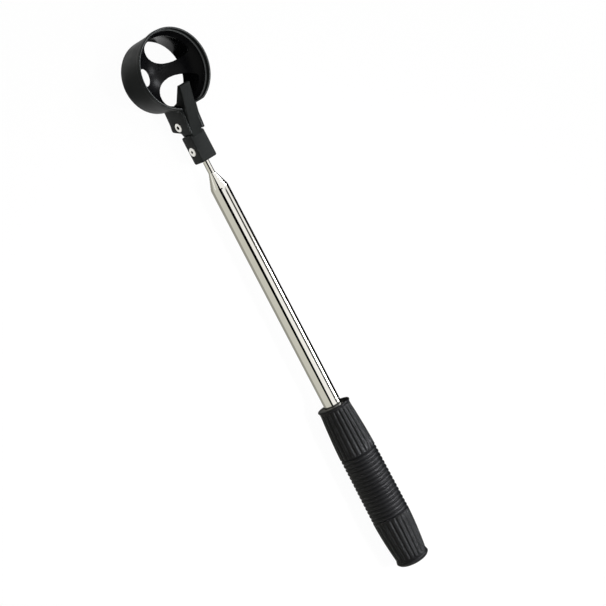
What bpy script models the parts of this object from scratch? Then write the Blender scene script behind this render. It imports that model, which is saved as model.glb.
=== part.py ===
"""A telescopic golf ball retriever, pushed together, lying on its grip and on its cup's foot ring.

Metres, +Z up, the cup towards -X, the origin on the floor under the middle. The pieces are modelled in the
shaft's own frame, which an empty sets down: z is the station along the shaft from the grip's mouth towards
the cup, x is the rise towards the side that the cup's mouth faces, and y runs along the hinge rivet. The
shaft slopes down a little towards the cup, which turns back level on its hinge.
"""

import math

import bmesh
import bpy
from mathutils import Matrix, Vector

# Shaft sections
SECTION_COUNT = 8
FIRST_TUBE_DIAMETER = 0.0110
TUBE_STEP = 0.0010  # each section is this much slimmer than the one around it
TUBE_WALL = 0.0003
SHAFT_SHOW = 0.1469  # first tube, from the grip's mouth to its neck
NECK_LENGTH = 0.00136
NECK_LIP = 0.00015  # wall left at a neck's end
NECK_GAP = 0.00005  # radial, between a neck and the tube that slides in it
TIP_SHOW = 0.0084  # bare last tube below the block
BASE_LIP = 0.0006  # rim that keeps a bush on its tube
GROOVE_DEPTH = 0.0003
GROOVE_RAMP = 0.0003
BUSH_LENGTH = 0.0030
BUSH_GAP = 0.00005
BUSH_SLIT = 1  # facets left open in a bush
PLUG_LENGTH = 0.0060
PLUG_FLANGE = 0.0012
SEAT_GAP = 0.00015  # round a piece that is pressed or moulded onto another
END_GAP = 0.0004  # between one section's base and the next one's, and at a full draw

# Grip
GRIP_LENGTH = 0.1080
GRIP_SWELL_DIAMETER = 0.0237  # greatest, below the ribs
GRIP_SHOULDER_DIAMETER = 0.0231  # above the ribs
GRIP_WAIST_DIAMETER = 0.0197  # behind each lip
GRIP_LIP_DIAMETER = 0.0208
GRIP_LIP_LENGTH = 0.0020
BUTT_WALL = 0.0040
BUTT_FLAT_DIAMETER = 0.0100
RIB_START = 0.0328
RIB_COUNT = 16
RIB_PITCH = 0.00265
RIB_DEPTH = 0.0006
FLUTE_COUNT = 22
FLUTE_DEPTH = 0.0005

# Yoke block and tongue
BLOCK_LENGTH = 0.0176
BLOCK_WIDTH = 0.0112
BLOCK_FRONT = 0.0056  # rise of the face on the mouth's side
BLOCK_BACK = 0.0035  # drop of the face on the other side
BLOCK_ROUND = 0.0012
SOCKET_DEPTH = 0.0120
TONGUE_WIDTH = 0.0080
TONGUE_REACH = 0.0218  # pin to tip, along the shaft
TONGUE_RISE = 0.0172  # of the tip over the shaft's axis
TONGUE_TIP = 0.0024  # thickness at the tip
KNUCKLE_DIAMETER = 0.0090
CHEEK_GAP = 0.0003  # between the knuckle and each cheek

# Rivets
RIVET_HEAD_DIAMETER = 0.0056
RIVET_HEAD_HEIGHT = 0.0007
RIVET_BORE_SHARE = 0.7  # of the shank
BLOCK_RIVET_SHARE = 0.55  # shank, of the tip tube's diameter
HINGE_SHANK_DIAMETER = 0.0030
PIN_ABOVE_BLOCK = 0.0066
PIN_DROP = 0.0007  # of the hinge below the shaft's axis

# Cup
CUP_DIAMETER = 0.0492  # over the lip
CUP_DEPTH = 0.0242
CUP_WALL = 0.0009
LIP_HEIGHT = 0.0033
LIP_STEP = 0.0007  # the lip stands out this far from the band
LIP_ROUND = 0.0004
BAND_TAPER = 0.0019  # loss of radius from the lip to the foot
FOOT_ROUND = 0.0004
BOWL_DEPTH = 0.0177
DRAINS = ((0.0272, 150.5, 0.0204), (0.0126, 257.3, 0.0051), (0.0223, 13.8, 0.0172))  # reach, turn, radius
DRAIN_ROUND = 0.0020  # of a drain's corners by the wall
BOWL_RING = 0.0003  # of the bowl left between the drains and the wall
PIN_TO_WALL = 0.00775
PIN_BELOW_MOUTH = 0.0163
HEEL_LIFT = 0.0001  # of the cheeks' heels over the floor
CHEEK_HEEL = 0.0016  # of the heels behind the pin
STOP_GAP = 0.0002  # of the toes over the block, where the cup stops
CHEEK_WIDTH = 0.0120  # over both cheeks at the pin
LUG_WIDTH = 0.0140  # over both cheeks at the wall
NOTCH_DEPTH = 0.0061  # the rim dips this far between the cheeks
NOTCH_WIDTH = 0.0145

# Facets
ROUND_FACETS = 24
CUP_FACETS = 48
ARC_STEPS = 8
WELD = 1e-6

TIP_DIAMETER = FIRST_TUBE_DIAMETER - (SECTION_COUNT - 1) * TUBE_STEP
BLOCK_BOTTOM = SHAFT_SHOW + (SECTION_COUNT - 1) * NECK_LENGTH + TIP_SHOW
BLOCK_TOP = BLOCK_BOTTOM + BLOCK_LENGTH
TIP_END = BLOCK_BOTTOM + SOCKET_DEPTH - SEAT_GAP
PIN_STATION = BLOCK_TOP + PIN_ABOVE_BLOCK
CUP_REACH = PIN_TO_WALL + CUP_DIAMETER / 2
CUP_STATION = PIN_STATION + CUP_REACH
PIN_HEIGHT = CUP_DEPTH - PIN_BELOW_MOUTH
SLOT_HALF = TONGUE_WIDTH / 2 + CHEEK_GAP


def empty(name, parent, location, turn=0.0):
    """Axes for the pieces of one joint, turned about Y."""
    marker = bpy.data.objects.new(name, None)
    bpy.context.collection.objects.link(marker)
    marker.empty_display_size = 0.01
    marker.parent = parent
    marker.location = location
    marker.rotation_euler = (0, turn, 0)
    return marker


def surface(name, colour, metallic, roughness):
    made = bpy.data.materials.new(name)
    made.use_nodes = True
    shader = made.node_tree.nodes["Principled BSDF"]
    shader.inputs["Base Color"].default_value = (*colour, 1)
    shader.inputs["Metallic"].default_value = metallic
    shader.inputs["Roughness"].default_value = roughness
    made.diffuse_color = (*colour, 1)
    return made


def placed(name, parent, bm, look):
    """The mesh as an object under its empty. Without a look it is a cutter, which isn't rendered."""
    bmesh.ops.remove_doubles(bm, verts=bm.verts[:], dist=WELD)
    bmesh.ops.recalc_face_normals(bm, faces=bm.faces[:])
    mesh = bpy.data.meshes.new(name)
    bm.to_mesh(mesh)
    bm.free()
    made = bpy.data.objects.new(name, mesh)
    bpy.context.collection.objects.link(made)
    made.parent = parent
    if look:
        mesh.materials.append(look)
    else:
        made.hide_render = True
        made.display_type = "WIRE"
    return made


def spun(outline, facets, loop=False, slit=0):
    """A mesh turned about Z from (radius, station) points. A loop is a ring's whole section."""
    bm = bmesh.new()
    points = [bm.verts.new((radius, 0, station)) for radius, station in outline]
    for first, second in zip(points, points[1:]):
        bm.edges.new((first, second))
    if loop:
        bm.edges.new((points[-1], points[0]))
    bmesh.ops.spin(
        bm,
        geom=bm.verts[:] + bm.edges[:],
        cent=(0, 0, 0),
        axis=(0, 0, 1),
        angle=math.tau * (1 - slit / facets),
        steps=facets - slit,
        use_merge=not slit,
    )
    if slit:
        bmesh.ops.holes_fill(bm, edges=[edge for edge in bm.edges if edge.is_boundary])
    return bm


def laid_across(bm, rise, station):
    """Turns a spun mesh to run along Y through this point."""
    bmesh.ops.rotate(bm, verts=bm.verts[:], matrix=Matrix.Rotation(math.radians(90), 3, "X"))
    bmesh.ops.translate(bm, verts=bm.verts[:], vec=(rise, 0, station))
    return bm


def prism(outline, half_width):
    """A mesh with this outline of (rise, station) points, from -half_width to half_width in Y."""
    bm = bmesh.new()
    face = bm.faces.new([bm.verts.new((rise, -half_width, station)) for rise, station in outline])
    side = bmesh.ops.extrude_face_region(bm, geom=[face], use_keep_orig=True)["geom"]
    moved = [part for part in side if isinstance(part, bmesh.types.BMVert)]
    bmesh.ops.translate(bm, verts=moved, vec=(0, 2 * half_width, 0))
    return bm


def rounded(corners, steps=4):
    """The outline through (rise, station, radius) corners, each with an arc of its own radius."""
    outline = []
    for place, (rise, station, radius) in enumerate(corners):
        corner = Vector((rise, station))
        if not radius:
            outline.append(tuple(corner))
            continue
        back = (Vector(corners[place - 1][:2]) - corner).normalized()
        on = (Vector(corners[(place + 1) % len(corners)][:2]) - corner).normalized()
        half = back.angle(on) / 2
        middle = corner + (back + on).normalized() * (radius / math.sin(half))
        start = corner + back * (radius / math.tan(half)) - middle
        end = corner + on * (radius / math.tan(half)) - middle
        for step in range(steps + 1):
            arm = start.lerp(end, step / steps).normalized() * radius
            outline.append(tuple(middle + arm))
    return outline


def touch_point(start, middle, radius, side):
    """Where the line from start touches a circle on its left (1) or right (-1) side."""
    reach = middle - start
    swing = math.asin(radius / reach.length)
    along = Matrix.Rotation(side * swing, 2) @ reach.normalized()
    return start + along * math.sqrt(reach.length**2 - radius**2)


def combine(target, tool, operation="DIFFERENCE"):
    modifier = target.modifiers.new(tool.name, "BOOLEAN")
    modifier.operation = operation
    modifier.object = tool


def lying_tilt(radius, below):
    """The slope at which a ring of the grip, this far below its mouth, lies on the floor by a level cup."""
    run = PIN_STATION + below
    rise = radius - PIN_DROP
    return math.acos(PIN_HEIGHT / math.hypot(run, rise)) - math.atan2(run, rise)


def tube_radius(index):
    return (FIRST_TUBE_DIAMETER - (index - 1) * TUBE_STEP) / 2


def shoulder_station(index):
    return SHAFT_SHOW + (index - 1) * NECK_LENGTH


def base_station(index):
    first = BUTT_WALL + PLUG_FLANGE + 2 * SEAT_GAP - GRIP_LENGTH
    if index == 1:
        return first
    groove = BASE_LIP + 2 * GROOVE_RAMP + BUSH_LENGTH + 2 * BUSH_GAP
    return first + PLUG_LENGTH + END_GAP + (index - 2) * (groove + END_GAP)


def bush_station(index):
    return base_station(index) + BASE_LIP + GROOVE_RAMP + BUSH_GAP


def stroke(index):
    """How far a section draws out before its bush meets the neck of the tube around it."""
    return shoulder_station(index - 1) - bush_station(index) - BUSH_LENGTH - END_GAP


def tube_outline(index):
    radius = tube_radius(index)
    base = base_station(index)
    outside = [(radius, base)]
    if index > 1:
        start = base + BASE_LIP
        end = bush_station(index) + BUSH_LENGTH + BUSH_GAP + GROOVE_RAMP
        outside.append((radius, start))
        outside.append((radius - GROOVE_DEPTH, start + GROOVE_RAMP))
        outside.append((radius - GROOVE_DEPTH, end - GROOVE_RAMP))
        outside.append((radius, end))
    outside.append((radius, shoulder_station(index) if index < SECTION_COUNT else TIP_END))
    neck = []
    if index < SECTION_COUNT:
        bore = tube_radius(index + 1) + NECK_GAP
        neck = [(bore + NECK_LIP, shoulder_station(index + 1)), (bore, shoulder_station(index + 1))]
    inside = [(radius - TUBE_WALL, station) for radius, station in reversed(outside)]
    return outside + neck + inside


def rivet(name, parent, look, rise, station, shank, grip_width):
    """A tubular rivet along Y with a head on each side of what it holds."""
    half = grip_width / 2 + SEAT_GAP
    bore = shank * RIVET_BORE_SHARE / 2
    head = RIVET_HEAD_DIAMETER / 2
    end = half + RIVET_HEAD_HEIGHT
    outline = [
        (shank / 2, -half), (head, -half), (head * 0.95, -half - RIVET_HEAD_HEIGHT * 0.6),
        (head * 0.7, -end), (bore, -end), (bore, end), (head * 0.7, end),
        (head * 0.95, half + RIVET_HEAD_HEIGHT * 0.6), (head, half), (shank / 2, half),
    ]
    turned = spun(outline, ROUND_FACETS, loop=True)
    return placed(name, parent, laid_across(turned, rise, station), look)


def rivet_hole(name, parent, rise, station, shank):
    radius = shank / 2 + SEAT_GAP
    outline = [(0, -CUP_DIAMETER), (radius, -CUP_DIAMETER), (radius, CUP_DIAMETER), (0, CUP_DIAMETER)]
    return placed(name, parent, laid_across(spun(outline, ROUND_FACETS), rise, station), None)


for old in list(bpy.data.objects):
    bpy.data.objects.remove(old, do_unlink=True)

steel = surface("stainless_tube", (0.72, 0.71, 0.68), 1.0, 0.2)
bright = surface("rivet_steel", (0.85, 0.85, 0.84), 1.0, 0.15)
rubber = surface("grip_rubber", (0.012, 0.012, 0.012), 0.0, 0.6)
plastic = surface("cup_plastic", (0.02, 0.02, 0.02), 0.0, 0.4)
nylon = surface("bush_nylon", (0.75, 0.73, 0.68), 0.0, 0.5)

# The grip's outline: bore, mouth lip, upper flutes, ribs, lower flutes, butt lip, closed end.
lip = GRIP_LIP_DIAMETER / 2
waist = GRIP_WAIST_DIAMETER / 2
shoulder = GRIP_SHOULDER_DIAMETER / 2
swell = GRIP_SWELL_DIAMETER / 2
bore = FIRST_TUBE_DIAMETER / 2 + SEAT_GAP
lip_round = GRIP_LIP_LENGTH * 0.4
rib_end = RIB_START + RIB_COUNT * RIB_PITCH
butt_lip = GRIP_LENGTH - 2 * GRIP_LIP_LENGTH
upper_run = RIB_START - 3 * GRIP_LIP_LENGTH
lower_run = butt_lip - 2 * GRIP_LIP_LENGTH - rib_end
upper_flutes = [
    (waist, 2 * GRIP_LIP_LENGTH),
    (waist + (shoulder - waist) * 0.6, 2 * GRIP_LIP_LENGTH + upper_run * 0.5),
    (shoulder, RIB_START - GRIP_LIP_LENGTH / 2),
]
lower_flutes = [
    (swell, rib_end + GRIP_LIP_LENGTH / 2),
    (waist + (swell - waist) * 0.7, rib_end + lower_run * 0.5),
    (waist, butt_lip - GRIP_LIP_LENGTH),
]
ribs = []
for index in range(RIB_COUNT):
    crest = shoulder + (swell - shoulder) * index / RIB_COUNT
    ribs.append((crest - RIB_DEPTH, RIB_START + index * RIB_PITCH))
    ribs.append((crest, RIB_START + (index + 0.3) * RIB_PITCH))
    ribs.append((crest, RIB_START + (index + 0.7) * RIB_PITCH))
sleeve = [
    (0, GRIP_LENGTH - BUTT_WALL), (bore, GRIP_LENGTH - BUTT_WALL), (bore, 0),
    (lip - lip_round, 0), (lip, lip_round), (lip, GRIP_LIP_LENGTH), (waist, GRIP_LIP_LENGTH * 1.5),
    *upper_flutes, *ribs, (swell - RIB_DEPTH, rib_end), *lower_flutes,
    (waist, butt_lip - GRIP_LIP_LENGTH / 2), (lip, butt_lip), (lip, GRIP_LENGTH - GRIP_LIP_LENGTH),
    (lip * 0.85, GRIP_LENGTH - GRIP_LIP_LENGTH * 0.3), (BUTT_FLAT_DIAMETER / 2, GRIP_LENGTH),
    (0, GRIP_LENGTH),
]

# The shaft comes down onto the grip ring that holds it up the most. Its frame is an empty, and each slide
# has one that carries its section and everything ahead of it.
tilt = max(lying_tilt(radius, below) for radius, below in sleeve)
butt_reach = GRIP_LENGTH * math.cos(tilt) + BUTT_FLAT_DIAMETER / 2 * math.sin(tilt)
pin_reach = PIN_STATION * math.cos(tilt) - PIN_DROP * math.sin(tilt)
mouth_x = (pin_reach + CUP_REACH + CUP_DIAMETER / 2 - butt_reach) / 2
mouth_z = PIN_HEIGHT + PIN_DROP * math.cos(tilt) + PIN_STATION * math.sin(tilt)
shaft_axis = empty("shaft_axis", None, (mouth_x, 0, mouth_z), turn=-math.pi / 2 - tilt)
slides = {1: shaft_axis}
for index in range(2, SECTION_COUNT + 1):
    slides[index] = empty(f"slide_{index}", slides[index - 1], (0, 0, 0))
tip_slide = slides[SECTION_COUNT]
hinge_axis = empty("hinge_axis", tip_slide, (-PIN_DROP, 0, PIN_STATION), turn=tilt)
cup_axis = empty("cup_axis", hinge_axis, (PIN_BELOW_MOUTH, 0, CUP_REACH), turn=math.pi / 2)

# Tube sections, each with a groove at its base for the bush that drags in the tube around it.
tubes = {}
for index in range(1, SECTION_COUNT + 1):
    tube = spun(tube_outline(index), ROUND_FACETS, loop=True)
    tubes[index] = placed(f"tube_section_{index}", slides[index], tube, steel)
for index in range(2, SECTION_COUNT + 1):
    inside = tube_radius(index) - GROOVE_DEPTH + BUSH_GAP
    outside = tube_radius(index - 1) - TUBE_WALL - BUSH_GAP
    bottom = bush_station(index)
    top = bottom + BUSH_LENGTH
    ring = [(inside, bottom), (outside, bottom), (outside, top), (inside, top)]
    bush = spun(ring, ROUND_FACETS, loop=True, slit=BUSH_SLIT)
    placed(f"friction_bush_{index}", slides[index], bush, nylon)

# Plug that closes the first tube's base.
plug_radius = tube_radius(1) - TUBE_WALL - SEAT_GAP
flange_bottom = base_station(1) - SEAT_GAP - PLUG_FLANGE
flange_top = base_station(1) - SEAT_GAP
plug_top = base_station(1) + PLUG_LENGTH
plug = [
    (0, flange_bottom), (tube_radius(1), flange_bottom), (tube_radius(1), flange_top),
    (plug_radius, flange_top), (plug_radius, plug_top), (0, plug_top),
]
placed("base_plug", shaft_axis, spun(plug, ROUND_FACETS), nylon)

# Grip, with every other facet of its fluted ends pressed in.
grip = spun([(radius, -below) for radius, below in sleeve], 2 * FLUTE_COUNT)
fluted = [-below for radius, below in upper_flutes + lower_flutes]
for vert in grip.verts:
    facet = round(math.atan2(vert.co.y, vert.co.x) / (math.pi / FLUTE_COUNT))
    if facet % 2 and min(abs(vert.co.z - station) for station in fluted) < WELD:
        vert.co.xy *= 1 - FLUTE_DEPTH / vert.co.xy.length
placed("grip_sleeve", shaft_axis, grip, rubber)

# Yoke: the block on the tip tube, joined to the tongue that swells round the hinge pin.
block = prism(
    rounded([
        (BLOCK_FRONT, BLOCK_BOTTOM, BLOCK_ROUND), (BLOCK_FRONT, BLOCK_TOP, BLOCK_ROUND),
        (-BLOCK_BACK, BLOCK_TOP, BLOCK_ROUND), (-BLOCK_BACK, BLOCK_BOTTOM, BLOCK_ROUND),
    ]),
    BLOCK_WIDTH / 2,
)
yoke = placed("yoke_block", tip_slide, block, plastic)
pin = Vector((-PIN_DROP, PIN_STATION))
knuckle = KNUCKLE_DIAMETER / 2
front_root = Vector((BLOCK_FRONT - SEAT_GAP, BLOCK_TOP - BLOCK_ROUND))
back_root = Vector((-BLOCK_BACK / 2, BLOCK_TOP - BLOCK_ROUND))
tip_front = Vector((TONGUE_RISE, PIN_STATION + TONGUE_REACH))
rake = (tip_front - front_root).normalized()
tip_back = tip_front + Vector((-rake.y, rake.x)) * TONGUE_TIP
ramp_end = touch_point(tip_back, pin, knuckle, -1) - pin
heel_end = touch_point(back_root, pin, knuckle, 1) - pin
around = []
for step in range(ARC_STEPS + 1):
    around.append(pin + ramp_end.lerp(heel_end, step / ARC_STEPS).normalized() * knuckle)
tongue = prism([front_root, tip_front, tip_back, *around, back_root], TONGUE_WIDTH / 2)
combine(yoke, placed("tongue_shape", tip_slide, tongue, None), "UNION")
socket_radius = TIP_DIAMETER / 2 + SEAT_GAP
socket = [
    (0, BLOCK_BOTTOM - SOCKET_DEPTH), (socket_radius, BLOCK_BOTTOM - SOCKET_DEPTH),
    (socket_radius, BLOCK_BOTTOM + SOCKET_DEPTH), (0, BLOCK_BOTTOM + SOCKET_DEPTH),
]
combine(yoke, placed("socket_cutter", tip_slide, spun(socket, ROUND_FACETS), None))

# Rivets, and the holes they pass through.
block_shank = TIP_DIAMETER * BLOCK_RIVET_SHARE
block_rivet_station = BLOCK_BOTTOM + SOCKET_DEPTH * 0.65
rivet("block_rivet", tip_slide, bright, 0, block_rivet_station, block_shank, BLOCK_WIDTH)
block_hole = rivet_hole("block_rivet_cutter", tip_slide, 0, block_rivet_station, block_shank)
combine(yoke, block_hole)
combine(tubes[SECTION_COUNT], block_hole)
rivet("hinge_rivet", hinge_axis, bright, 0, 0, HINGE_SHANK_DIAMETER, CHEEK_WIDTH)
hinge_hole = rivet_hole("hinge_rivet_cutter", hinge_axis, 0, 0, HINGE_SHANK_DIAMETER)
combine(yoke, hinge_hole)

# Cup: a band with a lip, and inside it a bowl that ends under the lip's ledge.
rim = CUP_DIAMETER / 2
band = rim - LIP_STEP
foot = band - BAND_TAPER
inner = band - CUP_WALL
skirt = foot - CUP_WALL
sag = BOWL_DEPTH - LIP_HEIGHT - LIP_ROUND
bowl_radius = (inner**2 + sag**2) / (2 * sag)
bowl_middle = BOWL_DEPTH - bowl_radius
bowl = []
shell = []
for step in range(ARC_STEPS):
    radius = inner * step / (ARC_STEPS - 1)
    bowl.append((radius, bowl_middle + math.sqrt(bowl_radius**2 - radius**2)))
    radius = skirt * step / (ARC_STEPS - 1)
    shell.append((radius, bowl_middle + math.sqrt((bowl_radius + CUP_WALL) ** 2 - radius**2)))
cup_outline = [
    *bowl, (inner, LIP_HEIGHT), (inner + LIP_STEP, LIP_HEIGHT), (inner + LIP_STEP, LIP_ROUND),
    (inner + LIP_STEP + LIP_ROUND, 0), (rim - LIP_ROUND, 0), (rim, LIP_ROUND),
    (rim, LIP_HEIGHT - LIP_ROUND), (band, LIP_HEIGHT), (foot, CUP_DEPTH - FOOT_ROUND),
    (foot - FOOT_ROUND * 0.3, CUP_DEPTH - FOOT_ROUND * 0.3), (foot - FOOT_ROUND, CUP_DEPTH),
    (skirt, CUP_DEPTH), *reversed(shell),
]
turned = spun([(radius, -depth) for radius, depth in cup_outline], CUP_FACETS)
cup = placed("cup", cup_axis, turned, plastic)

# Cheeks and slot of the hinge, in the hinge's frame.
front = PIN_BELOW_MOUTH - NOTCH_DEPTH
heel = PIN_HEIGHT - HEEL_LIFT
wall_front = CUP_REACH - math.sqrt(inner**2 - SLOT_HALF**2)
wall_back = CUP_REACH - math.sqrt(skirt**2 - SLOT_HALF**2)
lug_outline = rounded([
    (-heel, -CHEEK_HEEL, CHEEK_HEEL),
    (front - NOTCH_DEPTH * 0.35, STOP_GAP - PIN_ABOVE_BLOCK, CHEEK_HEEL / 2),
    (front, wall_front, 0), (-heel * 0.52, wall_back, 0),
])
lug = prism(lug_outline, CHEEK_WIDTH / 2)
flare = RIVET_HEAD_DIAMETER / 2 + SEAT_GAP
bmesh.ops.bisect_plane(
    lug, geom=lug.verts[:] + lug.edges[:] + lug.faces[:], plane_co=(0, 0, flare), plane_no=(0, 0, 1)
)
for vert in lug.verts:
    along = max(0, (vert.co.z - flare) / (wall_front - flare))
    vert.co.y *= 1 + (LUG_WIDTH / CHEEK_WIDTH - 1) * along
combine(cup, placed("lug_shape", hinge_axis, lug, None), "UNION")
slot_floor = -heel * 0.2
wall_face = CUP_REACH - rim - LIP_STEP
slot_end = CUP_REACH - inner + CUP_WALL * 5
slot = prism(
    [
        (-CUP_DEPTH, -CUP_DEPTH), (CUP_DEPTH, -CUP_DEPTH), (CUP_DEPTH, slot_end),
        (slot_floor, slot_end), (slot_floor, wall_face), (-CUP_DEPTH, wall_face),
    ],
    SLOT_HALF,
)
combine(cup, placed("slot_cutter", hinge_axis, slot, None))
notch = prism(
    [(front, -CUP_DEPTH), (CUP_DEPTH, -CUP_DEPTH), (CUP_DEPTH, slot_end), (front, slot_end)],
    NOTCH_WIDTH / 2,
)
for vert in notch.verts:
    if vert.co.x < CUP_DEPTH:
        vert.co.y *= LUG_WIDTH / NOTCH_WIDTH
combine(cup, placed("notch_cutter", hinge_axis, notch, None))
combine(cup, hinge_hole)

# Drains: round cuts into the bowl, which leave three spokes. Those that reach the wall stop at a thin ring
# along it, with rounded corners. Angles count from the drain's own turn.
ring = skirt - BOWL_RING
near = ring - DRAIN_ROUND
for index, (reach, turn, radius) in enumerate(DRAINS):
    if reach + radius < ring:
        arcs = [(reach, 0, radius, 0, math.tau)]
    else:
        spread = math.acos((near**2 + reach**2 - (radius - DRAIN_ROUND) ** 2) / (2 * near * reach))
        lean = math.atan2(near * math.sin(spread), near * math.cos(spread) - reach)
        arcs = [
            (0, 0, ring, -spread, spread),
            (near, spread, DRAIN_ROUND, spread, lean),
            (reach, 0, radius, lean, math.tau - lean),
            (near, -spread, DRAIN_ROUND, -lean, -spread),
        ]
    outline = []
    for distance, aside, bend, start, end in arcs:
        steps = max(2, round(2 * ARC_STEPS * (end - start) / math.pi))
        for step in range(steps):
            angle = start + (end - start) * step / steps
            x = distance * math.cos(aside) + bend * math.cos(angle)
            y = distance * math.sin(aside) + bend * math.sin(angle)
            outline.append((x, y))
    drain = bmesh.new()
    face = drain.faces.new([drain.verts.new((x, y, -CUP_DEPTH)) for x, y in outline])
    side = bmesh.ops.extrude_face_region(drain, geom=[face], use_keep_orig=True)["geom"]
    moved = [part for part in side if isinstance(part, bmesh.types.BMVert)]
    bmesh.ops.translate(drain, verts=moved, vec=(0, 0, CUP_DEPTH))
    bmesh.ops.rotate(drain, verts=drain.verts[:], matrix=Matrix.Rotation(math.radians(turn), 3, "Z"))
    combine(cup, placed(f"drain_cutter_{index + 1}", cup_axis, drain, None))

print(f"slope {math.degrees(tilt):.4f} deg, grip mouth x {mouth_x:.6f} z {mouth_z:.6f}")
print(f"hinge x {mouth_x - pin_reach:.6f} z {PIN_HEIGHT:.6f}")
print(f"cup axis x {mouth_x - pin_reach - CUP_REACH:.6f}, foot from {skirt:.6f} to {foot - FOOT_ROUND:.6f}")
for index in range(2, SECTION_COUNT + 1):
    print(f"section {index} stroke {stroke(index):.5f}")
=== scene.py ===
"""The looks of a telescopic golf ball retriever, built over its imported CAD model.

Sizes are in millimetres. A piece on the shaft is modelled with z along the shaft from the grip's mouth,
x towards the side that the scoop's mouth faces and y along the rivets, and is then set down on the shaft,
which slopes a little towards the head. The studio round it is in metres.
"""

import math

import bmesh
import bpy
from mathutils import Matrix, Vector


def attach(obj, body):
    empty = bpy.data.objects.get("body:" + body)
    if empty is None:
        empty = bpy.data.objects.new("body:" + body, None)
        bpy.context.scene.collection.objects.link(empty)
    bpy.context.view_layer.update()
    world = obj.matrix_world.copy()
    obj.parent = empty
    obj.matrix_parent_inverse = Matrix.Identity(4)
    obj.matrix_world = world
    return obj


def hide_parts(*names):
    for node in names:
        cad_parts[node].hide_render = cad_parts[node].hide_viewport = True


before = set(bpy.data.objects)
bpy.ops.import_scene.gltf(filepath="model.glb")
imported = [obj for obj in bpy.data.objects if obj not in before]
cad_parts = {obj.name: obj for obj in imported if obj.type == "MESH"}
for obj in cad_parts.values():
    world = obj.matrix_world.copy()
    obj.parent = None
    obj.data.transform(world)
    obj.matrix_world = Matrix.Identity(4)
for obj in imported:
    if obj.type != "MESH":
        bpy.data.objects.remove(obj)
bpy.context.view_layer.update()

# Tube sections
# Eight drawn stainless tubes that nest in each other. Each is swaged to a short neck at its upper end and
# rolled in to a groove at its base, where a split bush drags inside the tube around it. The last one has
# no neck: it carries the yoke, and a rivet goes through it.
slope = 0.7652
millimetres = Matrix.Scale(0.001, 4)
shaft_place = (
    Matrix.Translation((0.068943, 0, 0.011124))
    @ Matrix.Rotation(math.radians(-90 - slope), 4, "Y")
    @ millimetres
)
tube_count, first_radius, slimmer, wall = 8, 5.5, 0.5, 0.3
first_base, second_base, base_step = -102.5, -96.1, 4.7
first_shoulder, neck, tip_end = 146.9, 1.36, 176.67
groove_start, groove_end, groove_roll = 0.6, 4.3, 0.3
rivet_station, rivet_hole = 172.62, 1.25
rivet_place = shaft_place @ Matrix.Translation((0, 0, rivet_station))


def linear(code):
    """An sRGB hex colour as linear RGBA."""
    channels = [int(code[place:place + 2], 16) / 255 for place in (1, 3, 5)]
    return [*[c / 12.92 if c <= 0.04045 else ((c + 0.055) / 1.055) ** 2.4 for c in channels], 1]


def add(tree, kind, inputs=None, **settings):
    """Adds a node. An input is a value, or another node's output to link."""
    made = tree.nodes.new(kind)
    for name, value in settings.items():
        setattr(made, name, value)
    for name, value in (inputs or {}).items():
        if isinstance(value, bpy.types.NodeSocket):
            tree.links.new(value, made.inputs[name])
        else:
            made.inputs[name].default_value = value
    return made


def blank_finish(name):
    """A new material with its empty node tree."""
    made = bpy.data.materials.new(name)
    made.use_nodes = True
    made.node_tree.nodes.clear()
    return made, made.node_tree


# Polished stainless steel, drawn through a die: a clear reflection, with faint lengthwise streaks that change
# its roughness. The streaks are drawn 0.7 mm wide, coarser than real ones, to show at all.
stainless, tree = blank_finish("polished_stainless")
coords = add(tree, "ShaderNodeTexCoord")
along = add(tree, "ShaderNodeMapping", {
    "Vector": coords.outputs["Object"], "Rotation": (0, math.radians(-slope), 0), "Scale": (9, 1400, 1400),
})
streaks = add(tree, "ShaderNodeTexNoise", {"Vector": along.outputs["Vector"], "Scale": 1.0, "Detail": 4.0})
smudges = add(tree, "ShaderNodeTexNoise", {
    "Vector": coords.outputs["Object"], "Scale": 60.0, "Detail": 3.0,
})
tint = add(tree, "ShaderNodeMix", {
    "Factor": smudges.outputs["Fac"], "A": linear("#f2f0ea"), "B": linear("#e8e5dc"),
}, data_type="RGBA")
gloss = add(tree, "ShaderNodeMapRange", {
    "Value": streaks.outputs["Fac"], "From Min": 0.3, "From Max": 0.7, "To Min": 0.015, "To Max": 0.04,
})
lines = add(tree, "ShaderNodeBump", {
    "Height": streaks.outputs["Fac"], "Strength": 0.04, "Distance": 0.00005,
})
steel = add(tree, "ShaderNodeBsdfPrincipled", {
    "Base Color": tint.outputs["Result"], "Metallic": 1.0, "Roughness": gloss.outputs["Result"],
    "Normal": lines.outputs["Normal"],
})
add(tree, "ShaderNodeOutputMaterial", {"Surface": steel.outputs["BSDF"]})


def turned(outline, steps, ring=False):
    """A mesh turned about Z from (radius, station) points. A ring's outline closes on itself."""
    bm = bmesh.new()
    points = [bm.verts.new((radius, 0, station)) for radius, station in outline]
    for first, second in zip(points, points[1:]):
        bm.edges.new((first, second))
    if ring:
        bm.edges.new((points[-1], points[0]))
    bmesh.ops.spin(
        bm, geom=bm.verts[:] + bm.edges[:], cent=(0, 0, 0), axis=(0, 0, 1), angle=math.tau, steps=steps,
        use_merge=True,
    )
    return bm


def shaped(name, bm, place):
    """The mesh as an object at the origin, with its place in its points."""
    bm.transform(place)
    bmesh.ops.remove_doubles(bm, verts=bm.verts[:], dist=1e-7)
    bmesh.ops.recalc_face_normals(bm, faces=bm.faces[:])
    mesh = bpy.data.meshes.new(name)
    bm.to_mesh(mesh)
    bm.free()
    made = bpy.data.objects.new(name, mesh)
    bpy.context.scene.collection.objects.link(made)
    return made


def settled(piece):
    """Takes the piece's modifiers into its mesh."""
    bpy.context.view_layer.update()
    graph = bpy.context.evaluated_depsgraph_get()
    done = bpy.data.meshes.new_from_object(piece.evaluated_get(graph))
    piece.modifiers.clear()
    piece.data = done
    return piece


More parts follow.
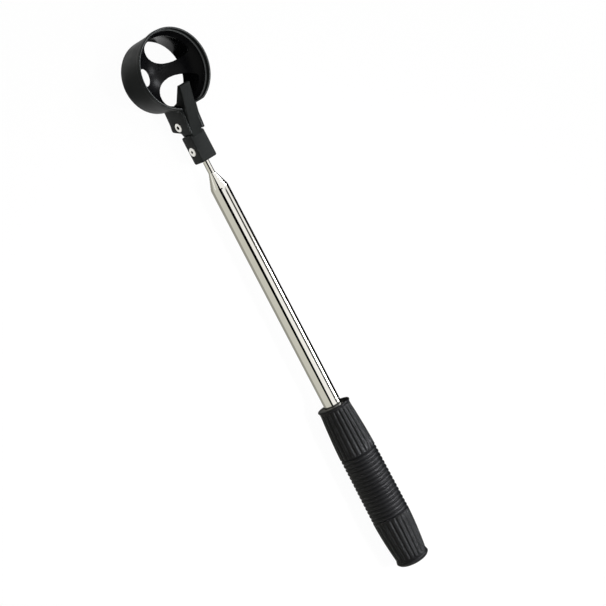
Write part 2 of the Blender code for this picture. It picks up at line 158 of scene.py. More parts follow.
def cut_away(piece, tool):
    """Takes a closed shape out of a piece."""
    cut = piece.modifiers.new("cut", "BOOLEAN")
    cut.operation = "DIFFERENCE"
    cut.solver = "EXACT"
    cut.object = tool
    settled(piece)
    bpy.data.objects.remove(tool)
    return piece


def rod(radius, length, segments, middle=0):
    """A round rod along Y, to cut with."""
    bm = bmesh.new()
    bmesh.ops.create_cone(
        bm, cap_ends=True, segments=segments, radius1=radius, radius2=radius, depth=length,
        matrix=Matrix.Translation((0, middle, 0)) @ Matrix.Rotation(math.radians(90), 4, "X"),
    )
    return bm


def drilled(piece, place, radius):
    """A round hole along Y through a piece."""
    return cut_away(piece, shaped("drill", rod(radius, length=60, segments=48), place))


def dressed(piece, finish, slot, body, *nodes, crease=35):
    """Gives a piece its finish and shading, and sets it on its body in place of its CAD nodes."""
    piece.data.materials.clear()
    piece.data.materials.append(finish)
    piece.data.shade_smooth()
    piece.data.set_sharp_from_angle(angle=math.radians(crease))
    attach(piece, body)
    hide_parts(*nodes)
    return piece


for index in range(1, tube_count + 1):
    radius = first_radius - (index - 1) * slimmer
    base = first_base if index == 1 else second_base + (index - 2) * base_step
    outside = [(radius, base)]
    if index > 1:
        start, end = base + groove_start, base + groove_end
        outside += [(radius, start), (radius - wall, start + groove_roll)]
        outside += [(radius - wall, end - groove_roll), (radius, end)]
    inside = [(reach - wall, station) for reach, station in outside]
    if index < tube_count:
        shoulder = first_shoulder + (index - 1) * neck
        end = shoulder + neck
        # The first of these rings keeps the long wall's shading straight.
        outside += [(radius, shoulder - 1.2), (radius, shoulder - 0.5)]
        outside += [(radius - 0.02, shoulder - 0.15), (radius - 0.09, shoulder + 0.15)]
        outside += [(radius - 0.32, end - 0.1), (radius - 0.36, end), (radius - 0.45, end)]
        inside.append((radius - wall, shoulder))
    else:
        outside.append((radius, tip_end))
        inside.append((radius - wall, tip_end))
    tube = shaped(f"tube_{index}", turned(outside + inside[::-1], steps=72, ring=True), shaft_place)
    if index == tube_count:
        drilled(tube, rivet_place, rivet_hole)
    body = "grip" if index == 1 else f"section_{index}"
    dressed(tube, stainless, "stainless_tube", body, f"tube_section_{index}")

# Friction bushes and base plug
# Split nylon rings in the tubes' grooves, and the flanged plug that closes the first tube under the grip.
# They are out of sight inside the tubes, so they keep their CAD shapes.
# Natural nylon, moulded: waxy, cloudy and slightly yellow.
nylon, tree = blank_finish("natural_nylon")
coords = add(tree, "ShaderNodeTexCoord")
cloud = add(tree, "ShaderNodeTexNoise", {
    "Vector": coords.outputs["Object"], "Scale": 350.0, "Detail": 3.0,
})
milk = add(tree, "ShaderNodeMix", {
    "Factor": cloud.outputs["Fac"], "A": linear("#e2ddcf"), "B": linear("#d3ccba"),
}, data_type="RGBA")
wax = add(tree, "ShaderNodeBsdfPrincipled", {
    "Base Color": milk.outputs["Result"], "Roughness": 0.45, "IOR": 1.53, "Subsurface Weight": 0.15,
    "Subsurface Scale": 0.001,
})
add(tree, "ShaderNodeOutputMaterial", {"Surface": wax.outputs["BSDF"]})
for name in ["base_plug", *[f"friction_bush_{index}" for index in range(2, tube_count + 1)]]:
    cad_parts[name].data.materials.clear()
    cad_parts[name].data.materials.append(nylon)

# Grip
# A moulded rubber sleeve pulled over the first tube, with a rolled lip at each end, lengthwise flutes at both
# ends and ring ribs where the fingers close. Its butt is closed. Its outline runs down from the mouth.
grip_bore, bore_end, lip, waist = 5.65, 104, 10.4, 9.85
mouth_roll, butt_roll, butt_lip, butt = 0.7, 1.1, 105.0, 108
upper_start, upper_end, lower_start, lower_end = 3.4, 32.0, 76.0, 102.6
upper_swell, lower_swell = 1.7, 2.0
rib_count, rib_start, rib_pitch, first_crest, crest_gain = 16, 32.8, 2.65, 11.55, 0.3
rib_shape = (
    (0, 0.85), (0.07, 0.78), (0.2, 0.3), (0.34, 0.05), (0.5, 0), (0.66, 0.05), (0.8, 0.3), (0.93, 0.78),
)
flute_count, flute_turn, flute_depth, flute_edge = 22, math.radians(5.4), 0.7, 0.1
flute_floor, grip_middle = 8, 54
upper_flutes, lower_flutes = (2.2, 0.8, 31.9, 0.9), (76.1, 0.9, 103.2, 0.8)

sleeve = [(0, bore_end), (grip_bore, bore_end), (grip_bore, 0.35), (grip_bore + 0.3, 0)]
for turn in range(0, 181, 30):
    angle = math.radians(turn)
    sleeve.append((lip - mouth_roll * (1 - math.sin(angle)), mouth_roll * (1 - math.cos(angle))))
sleeve += [(waist + 0.12, 1.6), (waist, 2.0)]
for step in range(13):
    share = step / 12
    swell = upper_swell * (1 - (1 - share) ** 1.5)
    sleeve.append((waist + swell, upper_start + (upper_end - upper_start) * share))
for index in range(rib_count):
    crest = first_crest + crest_gain * index / (rib_count - 1)
    for share, drop in rib_shape:
        sleeve.append((crest - drop, rib_start + (index + share) * rib_pitch))
sleeve.append((11.0, rib_start + rib_count * rib_pitch))
for step in range(13):
    share = step / 12
    swell = lower_swell * (1 - share**1.7)
    sleeve.append((waist + swell, lower_start + (lower_end - lower_start) * share))
sleeve += [(waist + 0.05, 103.2), (waist + 0.3, 103.8)]
for turn in range(30, 151, 20):
    angle = math.radians(turn)
    sleeve.append((lip - butt_roll * (1 - math.sin(angle)), butt_lip - butt_roll * math.cos(angle)))
sleeve += [(9.2, 106.7), (8.0, 107.4), (6.6, 107.85), (5.0, butt), (0, butt)]
grip = turned([(radius, -below) for radius, below in sleeve], steps=12 * flute_count)
for vert in grip.verts:
    below = -vert.co.z
    reach = vert.co.xy.length
    start, start_run, end, end_run = upper_flutes if below < grip_middle else lower_flutes
    fade = min((below - start) / start_run, (end - below) / end_run, 1)
    swing = math.cos(flute_count * (math.atan2(vert.co.y, vert.co.x) - flute_turn)) + flute_edge
    if reach > flute_floor and fade > 0 and swing > 0:
        vert.co.xy *= 1 - flute_depth * fade * (swing / (1 + flute_edge)) ** 0.8 / reach

# Black moulded rubber: matt, with a fine sandy skin from the mould, drawn at 0.5 mm so that it shows, and
# greyer patches where hands have dulled it.
rubber, tree = blank_finish("black_moulded_rubber")
coords = add(tree, "ShaderNodeTexCoord")
sand = add(tree, "ShaderNodeTexNoise", {
    "Vector": coords.outputs["Object"], "Scale": 2000.0, "Detail": 2.0,
})
handling = add(tree, "ShaderNodeTexNoise", {
    "Vector": coords.outputs["Object"], "Scale": 90.0, "Detail": 4.0,
})
soot = add(tree, "ShaderNodeMix", {
    "Factor": handling.outputs["Fac"], "A": linear("#0b0b0c"), "B": linear("#141415"),
}, data_type="RGBA")
dull = add(tree, "ShaderNodeMapRange", {
    "Value": handling.outputs["Fac"], "From Min": 0.3, "From Max": 0.7, "To Min": 0.34, "To Max": 0.46,
})
skin = add(tree, "ShaderNodeBump", {"Height": sand.outputs["Fac"], "Strength": 0.15, "Distance": 0.0001})
sole = add(tree, "ShaderNodeBsdfPrincipled", {
    "Base Color": soot.outputs["Result"], "Roughness": dull.outputs["Result"], "Specular IOR Level": 0.17,
    "Normal": skin.outputs["Normal"],
})
add(tree, "ShaderNodeOutputMaterial", {"Surface": sole.outputs["BSDF"]})
dressed(shaped("grip", grip, shaft_place), rubber, "grip_rubber", "grip", "grip_sleeve", crease=50)

# Yoke
# One black moulding: a block on the end of the last tube, and a tongue that swells round the hinge and lies
# over the scoop, to keep a ball in it. Its edges are softly rounded by the mould, and the block has a shallow
# round seat for each head of its rivet.
block_size, block_middle = (9.1, 11.2, 17.6), (1.05, 0, 173.62)
tongue_width, tongue_foot = 8, 180.2
pin_rise, pin_station, knuckle, hinge_hole = -0.7, 189.02, 4.5, 1.65
knuckle_start, knuckle_end = math.radians(135.9724), math.radians(207.20679)
seat_radius, block_seat, cheek_seat = 3.3, 5.25, 5.65
hinge_place = shaft_place @ Matrix.Translation((pin_rise, 0, pin_station))


def boxed(size, middle):
    """A box of this size round this middle."""
    bm = bmesh.new()
    bmesh.ops.create_cube(bm, size=1)
    bmesh.ops.scale(bm, vec=size, verts=bm.verts[:])
    bmesh.ops.translate(bm, vec=middle, verts=bm.verts[:])
    return bm


def eased(bm, geom, offset, segments, affect="EDGES"):
    """Rounds edges or corners."""
    bmesh.ops.bevel(
        bm, geom=geom, offset=offset, affect=affect, segments=segments, profile=0.5, material=-1
    )


def pulled(bm, vec):
    """Pulls a flat face out into a solid."""
    swept = bmesh.ops.extrude_face_region(bm, geom=bm.faces[:], use_keep_orig=True)["geom"]
    far = [part for part in swept if isinstance(part, bmesh.types.BMVert)]
    bmesh.ops.translate(bm, vec=vec, verts=far)


def sharp_edges(bm, degrees):
    """The edges where a solid turns by more than this."""
    bmesh.ops.recalc_face_normals(bm, faces=bm.faces[:])
    return [edge for edge in bm.edges if edge.calc_face_angle(0) > math.radians(degrees)]


def sunk(piece, place, half):
    """A shallow round seat for a rivet's head in both sides of a piece, this far from its middle."""
    length = 10
    for side in (1, -1):
        mill = rod(seat_radius, length, segments=64, middle=side * (half + length / 2))
        cut_away(piece, shaped("mill", mill, place))
    return piece


def joined(piece, *others):
    """Adds other shells to a piece's mesh."""
    bm = bmesh.new()
    for shell in (piece, *others):
        bm.from_mesh(shell.data)
    bm.to_mesh(piece.data)
    bm.free()
    for shell in others:
        bpy.data.objects.remove(shell)
    return piece


yoke = boxed(block_size, block_middle)
across = [edge for edge in yoke.edges if abs(edge.verts[0].co.y - edge.verts[1].co.y) > 1]
eased(yoke, across, offset=1.1, segments=4)
sides = [
    edge for edge in yoke.edges
    if all(abs(abs(vert.co.y) - block_size[1] / 2) < 0.01 for vert in edge.verts)
    and abs(edge.verts[0].co.y - edge.verts[1].co.y) < 0.01
]
eased(yoke, sides, offset=0.45, segments=3)
block = shaped("block", yoke, shaft_place)

outline = [(5.5, tongue_foot), (17.2, 210.82), (14.97, 211.71)]
for step in range(17):
    angle = knuckle_start + (knuckle_end - knuckle_start) * step / 16
    outline.append((pin_rise + knuckle * math.cos(angle), pin_station + knuckle * math.sin(angle)))
outline.append((-1.75, tongue_foot))
tongue = bmesh.new()
tongue.faces.new([tongue.verts.new((rise, -tongue_width / 2, station)) for rise, station in outline])
pulled(tongue, (0, tongue_width, 0))
eased(tongue, sharp_edges(tongue, 25), offset=0.4, segments=3)
tongue = shaped("tongue", tongue, shaft_place)
sunk(drilled(block, rivet_place, rivet_hole), rivet_place, block_seat)
drilled(tongue, hinge_place, hinge_hole)

# Black ABS from a spark-eroded mould: satin, with a fine even grain that is drawn at 0.6 mm so that it shows,
# and cloudy differences in shade and gloss.
abs_plastic, tree = blank_finish("black_moulded_abs")
coords = add(tree, "ShaderNodeTexCoord")
grain = add(tree, "ShaderNodeTexNoise", {
    "Vector": coords.outputs["Object"], "Scale": 1700.0, "Detail": 2.0,
})
cloud = add(tree, "ShaderNodeTexNoise", {
    "Vector": coords.outputs["Object"], "Scale": 120.0, "Detail": 4.0,
})
black = add(tree, "ShaderNodeMix", {
    "Factor": cloud.outputs["Fac"], "A": linear("#161817"), "B": linear("#202221"),
}, data_type="RGBA")
satin = add(tree, "ShaderNodeMapRange", {
    "Value": cloud.outputs["Fac"], "From Min": 0.3, "From Max": 0.7, "To Min": 0.42, "To Max": 0.54,
})
spark = add(tree, "ShaderNodeBump", {"Height": grain.outputs["Fac"], "Strength": 0.3, "Distance": 0.0001})
moulded = add(tree, "ShaderNodeBsdfPrincipled", {
    "Base Color": black.outputs["Result"], "Roughness": satin.outputs["Result"], "Specular IOR Level": 0.08,
    "Normal": spark.outputs["Normal"],
})
add(tree, "ShaderNodeOutputMaterial", {"Surface": moulded.outputs["BSDF"]})
dressed(joined(block, tongue), abs_plastic, "cup_plastic", "section_8", "yoke_block")

# Rivets
# Tubular steel rivets, one through the block and the last tube, one through the scoop's cheeks and the yoke.
# Each has a rolled, nearly flat head in a shallow seat, and its bore stays open.
# Nickel plate, bright and a little worn.
nickel, tree = blank_finish("bright_nickel_plate")
coords = add(tree, "ShaderNodeTexCoord")
wear = add(tree, "ShaderNodeTexNoise", {
    "Vector": coords.outputs["Object"], "Scale": 900.0, "Detail": 3.0,
})
plate = add(tree, "ShaderNodeMix", {
    "Factor": wear.outputs["Fac"], "A": linear("#e9e8e4"), "B": linear("#d6d4cd"),
}, data_type="RGBA")
shine = add(tree, "ShaderNodeMapRange", {
    "Value": wear.outputs["Fac"], "From Min": 0.3, "From Max": 0.7, "To Min": 0.2, "To Max": 0.3,
})
bright = add(tree, "ShaderNodeBsdfPrincipled", {
    "Base Color": plate.outputs["Result"], "Metallic": 1.0, "Roughness": shine.outputs["Result"],
})
add(tree, "ShaderNodeOutputMaterial", {"Surface": bright.outputs["BSDF"]})

# The plating doesn't reach into the bores, where the steel is dull; their mottled near-black is painted
# shade.
bore_shade, tree = blank_finish("bare_steel_painted_shade")
coords = add(tree, "ShaderNodeTexCoord")
bore_shade_mottle = add(tree, "ShaderNodeTexNoise", {
    "Vector": coords.outputs["Object"], "Scale": 1200.0, "Detail": 3.0,
})
bore_shade_tone = add(tree, "ShaderNodeMix", {
    "Factor": bore_shade_mottle.outputs["Fac"], "A": linear("#0c0b0a"), "B": linear("#1d1b18"),
}, data_type="RGBA")
bore_shade_surface = add(tree, "ShaderNodeBsdfPrincipled", {
    "Base Color": bore_shade_tone.outputs["Result"], "Roughness": 0.8, "Specular IOR Level": 0.1,
})
add(tree, "ShaderNodeOutputMaterial", {"Surface": bore_shade_surface.outputs["BSDF"]})

for name, place, half, shank, bore, body in (
    ("block_rivet", rivet_place, block_seat, 1.1, 0.77, "section_8"),
    ("hinge_rivet", hinge_place, cheek_seat, 1.5, 1.05, "scoop"),
):
    head = [(shank, 0), (2.72, 0), (2.8, 0.12), (2.78, 0.32), (2.62, 0.48), (2.3, 0.57), (1.8, 0.62)]
    head += [(bore + 0.25, 0.6), (bore + 0.06, 0.5), (bore, 0.3)]
    upper = [(radius, half + rise) for radius, rise in head]
    lower = [(radius, -station) for radius, station in reversed(upper)]
    rivet = turned(upper + lower, steps=64, ring=True)
    quarter = Matrix.Rotation(math.radians(90), 3, "X")
    bmesh.ops.rotate(rivet, cent=(0, 0, 0), matrix=quarter, verts=rivet.verts[:])
    eyelet = shaped(f"{name}_eyelet", rivet, place)
    dressed(eyelet, nickel, "rivet_steel", body, name, crease=50)
    eyelet.data.materials.append(bore_shade)
    to_rivet = place.inverted()
    for face in eyelet.data.polygons:
        x, y, z = to_rivet @ face.center
        # Faces inside the bore get the painted shade.
        if math.hypot(x, z) < bore + 0.05:
            face.material_index = 1

# Scoop
# One black moulding of the same ABS: a tapered band with a raised lip, a shallow bowl in it on three broad
# spokes, so that water runs out, and two cheeks that hold the hinge rivet. The lip dips towards the cheeks.
scoop_place = Matrix.Translation((-0.1524, 0, 0.0242)) @ millimetres
cheek_place = (
    Matrix.Translation((-0.12005, 0, 0.0079)) @ Matrix.Rotation(math.radians(-90), 4, "Y") @ millimetres
)
ledge, lip_inside, lip_middle, lip_outside = 23.02, 23.7, 24.15, 24.6
band_outline = [
    (22.2, 6.0), (23.0, 3.9), (ledge, 3.5), (23.2, 3.3), (23.55, 3.2), (lip_inside, 3.0),
    (lip_inside, 0.24), (23.72, 0.1), (23.77, 0.03), (23.86, 0), (lip_middle, 0), (24.42, 0),
    (24.52, 0.03), (24.58, 0.1), (lip_outside, 0.24), (lip_outside, 2.8), (24.5, 3.08), (24.25, 3.25),
    (23.95, 3.35), (23.86, 3.7), (23.84, 4.2), (23.4, 8.9), (22.93, 14.0), (22.45, 19.2), (22.08, 23.2),
    (22.0, 23.8), (21.93, 24.05), (21.75, 24.2), (21.2, 24.2), (21.12, 24.12), (21.1, 23.95),
    (21.1, 15.0), (21.1, 10.5),
]
dip_depth, dip_start, dip_run, dip_foot, dip_fade = 6.0, 9.0, 2.6, 13.0, 8.5
bowl_inside, bowl_outside, bowl_centre = 25.893, 26.793, -8.193
skin_voxel, skin_passes, hold_reach, hold_run = 0.00032, 14, 0.25, 0.2
drain_reach, drain_fillet, drain_bottom, drain_height = 20.8, 2, -30, 40
drains = ((27.2, 150.5, 20.4), (12.6, 257.3, 5.1), (22.3, 13.8, 17.2))
slot_size, slot_middle = (31.56, 8.6, 7.65), (14.22, 0, 9.825)
cheek_inside, cheek_thickness, cheek_bend, cheek_run = 4.3, 1.7, 2.95, 6.8
cheek_outline = ((-7.8, -1.6), (8.07, -6.4), (10.2, 9.75), (-4.06, 11.65))


def clamped(share):
    """A share, held between nothing and all."""
    return max(0, min(1, share))


def dip(x, y):
    """How far the lip is lowered at a place, towards the cheeks."""
    aside = clamped((dip_start - abs(y)) / dip_run) if x > 0 else 0
    return dip_depth * aside * aside * (3 - 2 * aside)


band = turned([(radius, -depth) for radius, depth in band_outline], steps=360, ring=True)
for vert in band.verts:
    vert.co.z -= dip(vert.co.x, vert.co.y) * clamped((dip_foot + vert.co.z) / dip_fade)
band = shaped("band", band, scoop_place)

bowl_outline = []
for reach, start, end in ((bowl_inside, 0, 63.2), (bowl_outside, 56.7, 0)):
    for step in range(25):
        angle = math.radians(start + (end - start) * step / 24)
        bowl_outline.append((reach * math.sin(angle), bowl_centre + reach * math.cos(angle)))
bowl = turned([(radius, -depth) for radius, depth in bowl_outline], steps=180)
bowl = shaped("bowl", bowl, scoop_place)

# Each drain is cut by a circle. One that runs past the bowl's edge stops there, with rounded corners.
near = drain_reach - drain_fillet
for reach, turn, radius in drains:
    if reach + radius < drain_reach:
        arcs = [(reach, 0, radius, 0, math.tau)]
    else:
        spread = math.acos((near**2 + reach**2 - (radius - drain_fillet) ** 2) / (2 * near * reach))
        lean = math.atan2(near * math.sin(spread), near * math.cos(spread) - reach)
        arcs = [
            (0, 0, drain_reach, -spread, spread), (near, spread, drain_fillet, spread, lean),
            (reach, 0, radius, lean, math.tau - lean), (near, -spread, drain_fillet, -lean, -spread),
        ]
    drain = bmesh.new()
    corners = []
    for distance, aside, bend, start, end in arcs:
        for step in range(16):
            angle = start + (end - start) * step / 16
            x = distance * math.cos(aside) + bend * math.cos(angle)
            y = distance * math.sin(aside) + bend * math.sin(angle)
            corners.append(drain.verts.new((x, y, drain_bottom)))
    drain.faces.new(corners)
    pulled(drain, (0, 0, drain_height))
    drain_place = scoop_place @ Matrix.Rotation(math.radians(turn), 4, "Z")
    cut_away(bowl, shaped("drain", drain, drain_place))
for shell in (band, bowl):
    cut_away(shell, shaped("slot", boxed(slot_size, slot_middle), cheek_place))

# The bowl is skinned anew and smoothed, which rounds the drains' edges. Its two faces then go back to their
# spheres.
thicken = bowl.modifiers.new("skin", "REMESH")
thicken.mode = "VOXEL"
thicken.voxel_size = skin_voxel
settled(bowl)
skin = bmesh.new()
skin.from_mesh(bowl.data)
for step in range(skin_passes):
    bmesh.ops.smooth_vert(
        skin, verts=skin.verts[:], factor=0.5, use_axis_x=True, use_axis_y=True, use_axis_z=True
    )
middle = scoop_place @ Vector((0, 0, -bowl_centre))
for vert in skin.verts:
    out = (vert.co - middle) * 1000
    sphere = bowl_inside if out.length < (bowl_inside + bowl_outside) / 2 else bowl_outside
    hold = clamped((hold_reach - abs(out.length - sphere)) / hold_run)
    vert.co = middle + out * (1 + hold * (sphere / out.length - 1)) / 1000
skin.to_mesh(bowl.data)
skin.free()

cheeks = []
for side in (1, -1):
    cheek = bmesh.new()
    corners = [cheek.verts.new((rise, side * cheek_inside, reach)) for rise, reach in cheek_outline]
    cheek.faces.new(corners)
    eased(cheek, corners[:1], offset=1.6, segments=6, affect="VERTICES")
    eased(cheek, corners[1:2], offset=0.9, segments=5, affect="VERTICES")
    pulled(cheek, (0, side * cheek_thickness, 0))
    everything = cheek.verts[:] + cheek.edges[:] + cheek.faces[:]
    bmesh.ops.bisect_plane(cheek, geom=everything, plane_co=(0, 0, cheek_bend), plane_no=(0, 0, 1))
    for vert in cheek.verts:
        if abs(vert.co.y) > cheek_inside + cheek_thickness / 2:
            vert.co.y += side * max(0, (vert.co.z - cheek_bend) / cheek_run)
    eased(cheek, sharp_edges(cheek, 50), offset=0.4, segments=3)
    cheek = drilled(shaped("cheek", cheek, cheek_place), hinge_place, hinge_hole)
    cheeks.append(sunk(cheek, hinge_place, cheek_seat))
scoop = dressed(joined(band, bowl, *cheeks), abs_plastic, "cup_plastic", "scoop", "cup", crease=62)

# The polished side of the mould leaves the inside of the scoop glossy, with hair-fine scratches from the
# balls. They are drawn coarser than real ones, in patches over a millimetre wide, so that they show.
polish, tree = blank_finish("black_polished_abs_painted_shade")
coords = add(tree, "ShaderNodeTexCoord")
scratch = add(tree, "ShaderNodeTexNoise", {
    "Vector": coords.outputs["Object"], "Scale": 600.0, "Detail": 6.0,
})
cloud = add(tree, "ShaderNodeTexNoise", {
    "Vector": coords.outputs["Object"], "Scale": 90.0, "Detail": 3.0,
})
# The inside's black is painted darker than the outside's: painted shade in the scoop's hollow.
inside_shaded_black = add(tree, "ShaderNodeMix", {
    "Factor": cloud.outputs["Fac"], "A": linear("#08080a"), "B": linear("#0e0e10"),
}, data_type="RGBA")
sheen = add(tree, "ShaderNodeMapRange", {
    "Value": scratch.outputs["Fac"], "From Min": 0.3, "From Max": 0.7, "To Min": 0.23, "To Max": 0.31,
})
glossy = add(tree, "ShaderNodeBsdfPrincipled", {
    "Base Color": inside_shaded_black.outputs["Result"], "Roughness": sheen.outputs["Result"], "Specular IOR Level": 0.09,
})
add(tree, "ShaderNodeOutputMaterial", {"Surface": glossy.outputs["BSDF"]})
scoop.data.materials.append(polish)

# A painted highlight: the front of the lip, the ledge inside it and the cheeks' upper edges are painted a
# paler grey for the light they catch. It is mottled at 2 mm.
painted_highlight, tree = blank_finish("abs_painted_highlight")
coords = add(tree, "ShaderNodeTexCoord")
highlight_mottle = add(tree, "ShaderNodeTexNoise", {
    "Vector": coords.outputs["Object"], "Scale": 500.0, "Detail": 5.0,
})
highlight_grey = add(tree, "ShaderNodeMix", {
    "Factor": highlight_mottle.outputs["Fac"], "A": linear("#444646"), "B": linear("#6c6e6e"),
}, data_type="RGBA")
highlight_surface = add(tree, "ShaderNodeBsdfPrincipled", {
    "Base Color": highlight_grey.outputs["Result"], "Roughness": 0.5, "Specular IOR Level": 0.1,
})
add(tree, "ShaderNodeOutputMaterial", {"Surface": highlight_surface.outputs["BSDF"]})
scoop.data.materials.append(painted_highlight)

highlight_rise, highlight_slope, highlight_end = 8.56, 0.132, 9
polish_depth, polish_mouth, polish_taper = 3.3, 23.8, 0.0909
to_scoop, to_cheek = scoop_place.inverted(), cheek_place.inverted()
for face in scoop.data.polygons:
    x, y, z = to_scoop @ face.center
    rise, aside, reach = to_cheek @ face.center
    radius = math.hypot(x, y)
    depth = -z - dip(x, y)
    on_lip = lip_inside - 0.1 < radius < lip_middle and depth < 0.25
    on_ledge = ledge - 0.02 < radius < lip_inside + 0.02 and 2.95 < depth < 3.6
    on_cheek = radius > lip_outside and abs(aside) < cheek_inside + 0.45 and reach < highlight_end
    # These faces get the painted highlight.
    if on_lip or on_ledge or (on_cheek and rise > highlight_rise + highlight_slope * reach):
        face.material_index = 2
    # Below the ledge, faces get the glossy black with its painted shade.
    elif z < -polish_depth and radius < polish_mouth + polish_taper * z:
        face.material_index = 1

# Floor and backdrop
# A sheet of frosted glass on a white backdrop. The camera, reflections and anything seen through a clear
# piece see the white through it, with a trace of the object's shadow, and the light it throws back is that of
# lit paper. Pieces below it show through, a little paler.
see_through, world_light, floor_size = 0.965, 0.6, 6


def shown(tree, share):
    """This share for a ray that shows the background, and nothing for one that carries light."""
    ray = add(tree, "ShaderNodeLightPath")
    either = add(tree, "ShaderNodeMath", {
        0: ray.outputs["Is Camera Ray"], 1: ray.outputs["Is Glossy Ray"],
    }, operation="MAXIMUM")
    either = add(tree, "ShaderNodeMath", {
        0: either.outputs[0], 1: ray.outputs["Is Transmission Ray"],
    }, operation="MAXIMUM")
    return add(tree, "ShaderNodeMath", {0: either.outputs[0], 1: share}, operation="MULTIPLY").outputs[0]


frosted, tree = blank_finish("frosted_white_glass")
matt = add(tree, "ShaderNodeBsdfDiffuse", {"Color": linear("#f2f0ec")})
clear = add(tree, "ShaderNodeBsdfTransparent", {"Color": linear("#ffffff")})
glass = add(tree, "ShaderNodeMixShader", {
    0: shown(tree, see_through), 1: matt.outputs["BSDF"], 2: clear.outputs["BSDF"],
})
add(tree, "ShaderNodeOutputMaterial", {"Surface": glass.outputs["Shader"]})
bm = bmesh.new()
bmesh.ops.create_grid(bm, x_segments=1, y_segments=1, size=floor_size)
floor = shaped("floor", bm, Matrix.Identity(4))
floor.data.materials.append(frosted)

world = bpy.data.worlds.new("studio")
bpy.context.scene.world = world
world.use_nodes = True
tree = world.node_tree
tree.nodes.clear()
level = add(tree, "ShaderNodeMath", {0: shown(tree, 1 - world_light), 1: world_light}, operation="ADD")
sky = add(tree, "ShaderNodeBackground", {"Color": linear("#ffffff"), "Strength": level.outputs[0]})
add(tree, "ShaderNodeOutputWorld", {"Surface": sky.outputs["Background"]})

# Studio cards and lamps
# Cards along the table and round the shaft, which only reflections see. They give the polished tubes a warm
# grey side and the dark lines that tell a bright cylinder from the white behind it. Some are painted shade: a
# grey strip is the shaft's painted shadow on the floor, a grey card paints the floor in front of the scoop
# shaded, and black cards under the scoop are its painted shadow there, which keeps its inside dark.
# Two soft boxes light it all, and a strip light brightens the grip.
card_height, scoop_card_height = 0.0005, 0.0003
card_start, card_end = -2.6, 1.6
warm, dark, black_line, scoop_shadow_black = "#d0d0c8", "#060606", "#050505", "#040404"

# A card runs along the shaft between two edges, each a place across it: how far back, and how high.
wall_top, neck_top = (-0.773, 0.531), (-0.480, 0.808)
near_edge, shade_start = (-0.9, card_height), (-0.016, card_height)
shade_end, far_edge = (0.0097, card_height), (0.9, card_height)
near_floor, shade, far_floor = (near_edge, shade_start), (shade_start, shade_end), (shade_end, far_edge)
near_wall, far_wall = (near_edge, wall_top), (far_edge, (0.856, 0.377))
behind_neck = ((0.03, card_height), far_edge)
thin_line = ((0.242, 0.912), (0.56, 0.757))
line_far, line_tip = (wall_top, (-0.45, 0.81)), (wall_top, (-0.110, 0.935))
line_top, line_butt = (wall_top, (-0.400, 0.850)), (wall_top, (-0.631, 0.697))
line_neck_far, line_neck = ((-0.737, 0.581), neck_top), (wall_top, neck_top)
front = ((-0.1, scoop_card_height), (-0.0222, scoop_card_height))
under_tip = ((0, scoop_card_height), (0.0208, scoop_card_height))
under_bowl = ((-0.005, scoop_card_height), (0.0208, scoop_card_height))
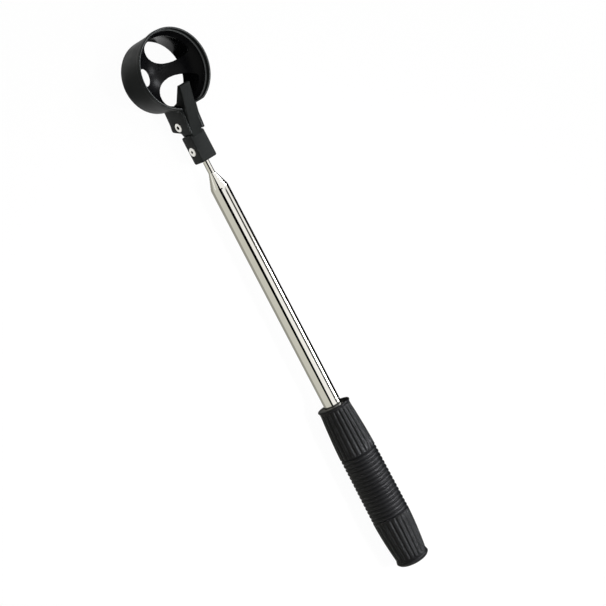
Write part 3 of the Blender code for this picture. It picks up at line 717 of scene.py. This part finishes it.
for name, colour, left, left_edges, right, right_edges in (
    ("warm_floor", warm, -0.094, near_floor, card_end, near_floor),
    # Painted shadow: the shaft's own shadow on the floor, as its reflections see it.
    ("warm_shade", "#9c9c95", -0.094, shade, card_end, shade),
    ("warm_wall", warm, card_start, near_wall, card_end, near_wall),
    ("warm_floor_far", warm, card_start, near_floor, -0.35, near_floor),
    ("dark_floor_far", dark, card_start, far_floor, -0.35, far_floor),
    ("dark_line_far", black_line, card_start, line_far, -0.8, line_far),
    ("dark_line_neck", black_line, -0.8, line_neck_far, -0.06, line_neck),
    ("dark_line_tip", black_line, -0.06, line_tip, 0.0, line_tip),
    ("dark_line_top", black_line, 0.0, line_top, 0.09, line_top),
    ("dark_line", black_line, 0.09, line_top, 0.4, line_butt),
    ("dark_line_butt", black_line, 0.4, line_butt, card_end, line_butt),
    ("thin_line", "#444442", 0.008, thin_line, card_end, thin_line),
    ("dark_wall", dark, card_start, far_wall, card_end, far_wall),
    ("dark_floor", dark, -0.098, far_floor, card_end, far_floor),
    ("dark_floor_neck", dark, -0.35, behind_neck, -0.098, behind_neck),
    # Painted shade: the floor in front of the scoop, greyer as if shaded by it.
    ("scoop_front", "#8a8a8a", -0.175, front, -0.133, front),
    # Painted shadow: the floor under the scoop, black as in its shadow, which keeps its inside dark.
    ("scoop_shade_tip", scoop_shadow_black, -0.1744, under_tip, -0.1684, under_tip),
    ("scoop_shade", scoop_shadow_black, -0.1589, under_bowl, -0.1304, under_bowl),
):
    card_finish, tree = blank_finish(name)
    tone = add(tree, "ShaderNodeEmission", {"Color": linear(colour), "Strength": 1.0})
    add(tree, "ShaderNodeOutputMaterial", {"Surface": tone.outputs["Emission"]})
    (left_low, left_high), (right_low, right_high) = left_edges, right_edges
    corners = ((left, *left_low), (right, *right_low), (right, *right_high), (left, *left_high))
    bm = bmesh.new()
    bm.faces.new([bm.verts.new(corner) for corner in corners])
    card = shaped(name, bm, Matrix.Identity(4))
    card.data.materials.append(card_finish)
    card.visible_camera = False
    card.visible_diffuse = False
    card.visible_transmission = False
    card.visible_volume_scatter = False
    card.visible_shadow = False

for name, place, aim, width, height, power, beam in (
    ("soft_box", (-0.354, 1.256, 0.793), (-0.1, 0, 0), 0.24, 0.5, 9, 180),
    ("side_box", (0.247, 1.161, 0.862), (-0.1, 0, 0), 0.2, 0.26, 2.8, 180),
    ("strip_box", (0.38, 0.4, 0.95), (0.12, 0, 0.012), 0.25, 0.3, 0.8, 24),
):
    lamp = bpy.data.lights.new(name, "AREA")
    lamp.shape = "RECTANGLE"
    lamp.size = width
    lamp.size_y = height
    lamp.energy = power
    lamp.spread = math.radians(beam)
    lamp.color = (0.94, 0.96, 1.0)
    box = bpy.data.objects.new(name, lamp)
    box.location = place
    box.rotation_euler = (Vector(place) - Vector(aim)).to_track_quat("Z", "Y").to_euler()
    bpy.context.scene.collection.objects.link(box)

# Camera
# A long lens that looks down on the retriever from its mouth side, with the shaft running down to the right.
lens = bpy.data.cameras.new("camera")
lens.sensor_width = 36
lens.lens = 151.842
camera = bpy.data.objects.new("camera", lens)
camera.location = (-0.247334, -0.861190, 1.227823)
camera.rotation_euler = (0.178791, -0.621187, 0.986794)
bpy.context.scene.collection.objects.link(camera)
bpy.context.scene.camera = camera
bpy.context.scene.view_settings.view_transform = "Standard"
